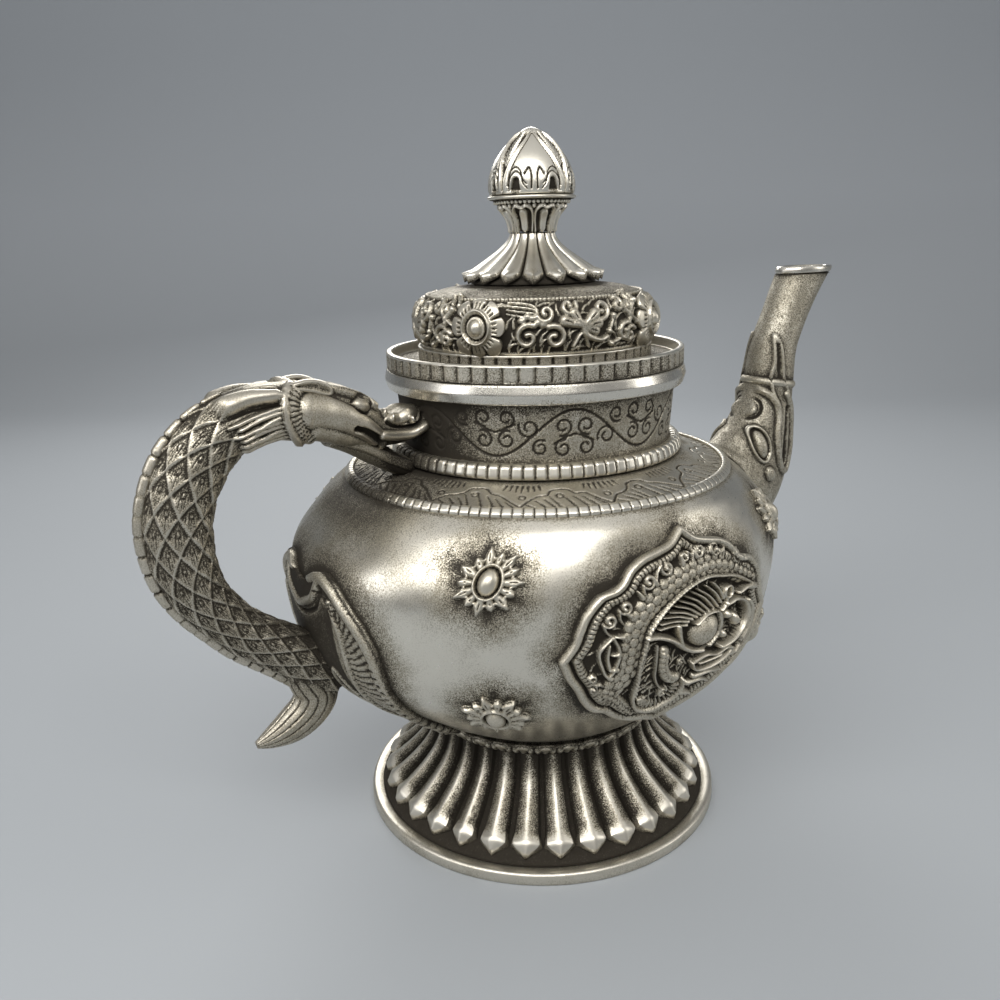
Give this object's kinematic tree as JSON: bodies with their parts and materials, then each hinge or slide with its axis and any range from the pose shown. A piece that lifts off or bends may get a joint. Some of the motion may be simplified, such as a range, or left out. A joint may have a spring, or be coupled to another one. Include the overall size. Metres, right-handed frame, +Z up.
{
  "type": "ewer",
  "caption": "Dragon-handled silver ewer: an oval hollow belly on a petalled foot, a curved spout and a domed lift-off lid with a lotus bud finial.",
  "frame": {"origin": "centre of the foot's flat underside, on the axis of neck and lid", "axes": "+Z up along the axis of neck and lid, +X towards the spout, -X towards the handle, -Y towards the front medallion"},
  "size_m": [0.2014, 0.1186, 0.1685],
  "materials": {
    "foot_silver": "cast silver alloy, dark patina between bright petal edges",
    "belly_silver": "hammered silver alloy, soft polish over patina",
    "relief_silver": "chased relief, bright high points and dark ground",
    "engraved_silver": "engraved sheet, patina in the lines",
    "bead_silver": "notched ring, bright between dark cuts",
    "polished_silver": "plain polished band",
    "spout_silver": "soft polish with patina in the relief",
    "handle_silver": "chased scales with dark cuts",
    "leaf_silver": "chased leaf, bright ridges",
    "lid_silver": "deep relief with dark ground",
    "finial_silver": "bright polished flutes and petals",
    "plain_silver": "plain, unpolished"
  },
  "bodies": {
    "root": {"foot_plate": "foot_silver", "foot_stem": "foot_silver", "foot_petals": "foot_silver", "waist_ring": "relief_silver", "belly_shell": "belly_silver", "shoulder_collar": "engraved_silver", "shoulder_bead": "bead_silver", "neck_bead": "bead_silver", "neck_tube": "engraved_silver", "mouth_band": "polished_silver", "spout_socket": "spout_silver", "spout_relief": "spout_silver", "spout_ring": "spout_silver", "spout_tube": "spout_silver", "spout_lip": "polished_silver", "handle_grip": "handle_silver", "handle_tail": "handle_silver", "handle_skull": "handle_silver", "handle_jaw": "handle_silver", "handle_horns": "handle_silver", "handle_gill": "handle_silver", "handle_mane": "handle_silver", "handle_ridge": "handle_silver", "leaf_plate": "leaf_silver", "medallion_front": "relief_silver", "medallion_dragon_front": "relief_silver", "medallion_back": "relief_silver", "medallion_dragon_back": "relief_silver", "upper_rosettes": "relief_silver", "lower_rosettes": "relief_silver"},
    "lid": {"lid_flange": "bead_silver", "lid_collar": "polished_silver", "lid_step_ring": "bead_silver", "lid_drum": "lid_silver", "lid_rope": "lid_silver", "lid_flowers": "lid_silver", "finial_core": "lid_silver", "finial_flutes": "finial_silver", "finial_cup": "finial_silver", "finial_belt": "finial_silver", "finial_bud": "finial_silver", "finial_stud": "plain_silver", "finial_nut": "plain_silver"}
  },
  "joints": [
    {"name": "lid_lift", "type": "slide", "parent": "root", "child": "lid", "axis": [0, 0, 1], "range_m": [0, 0.06]}
  ]
}
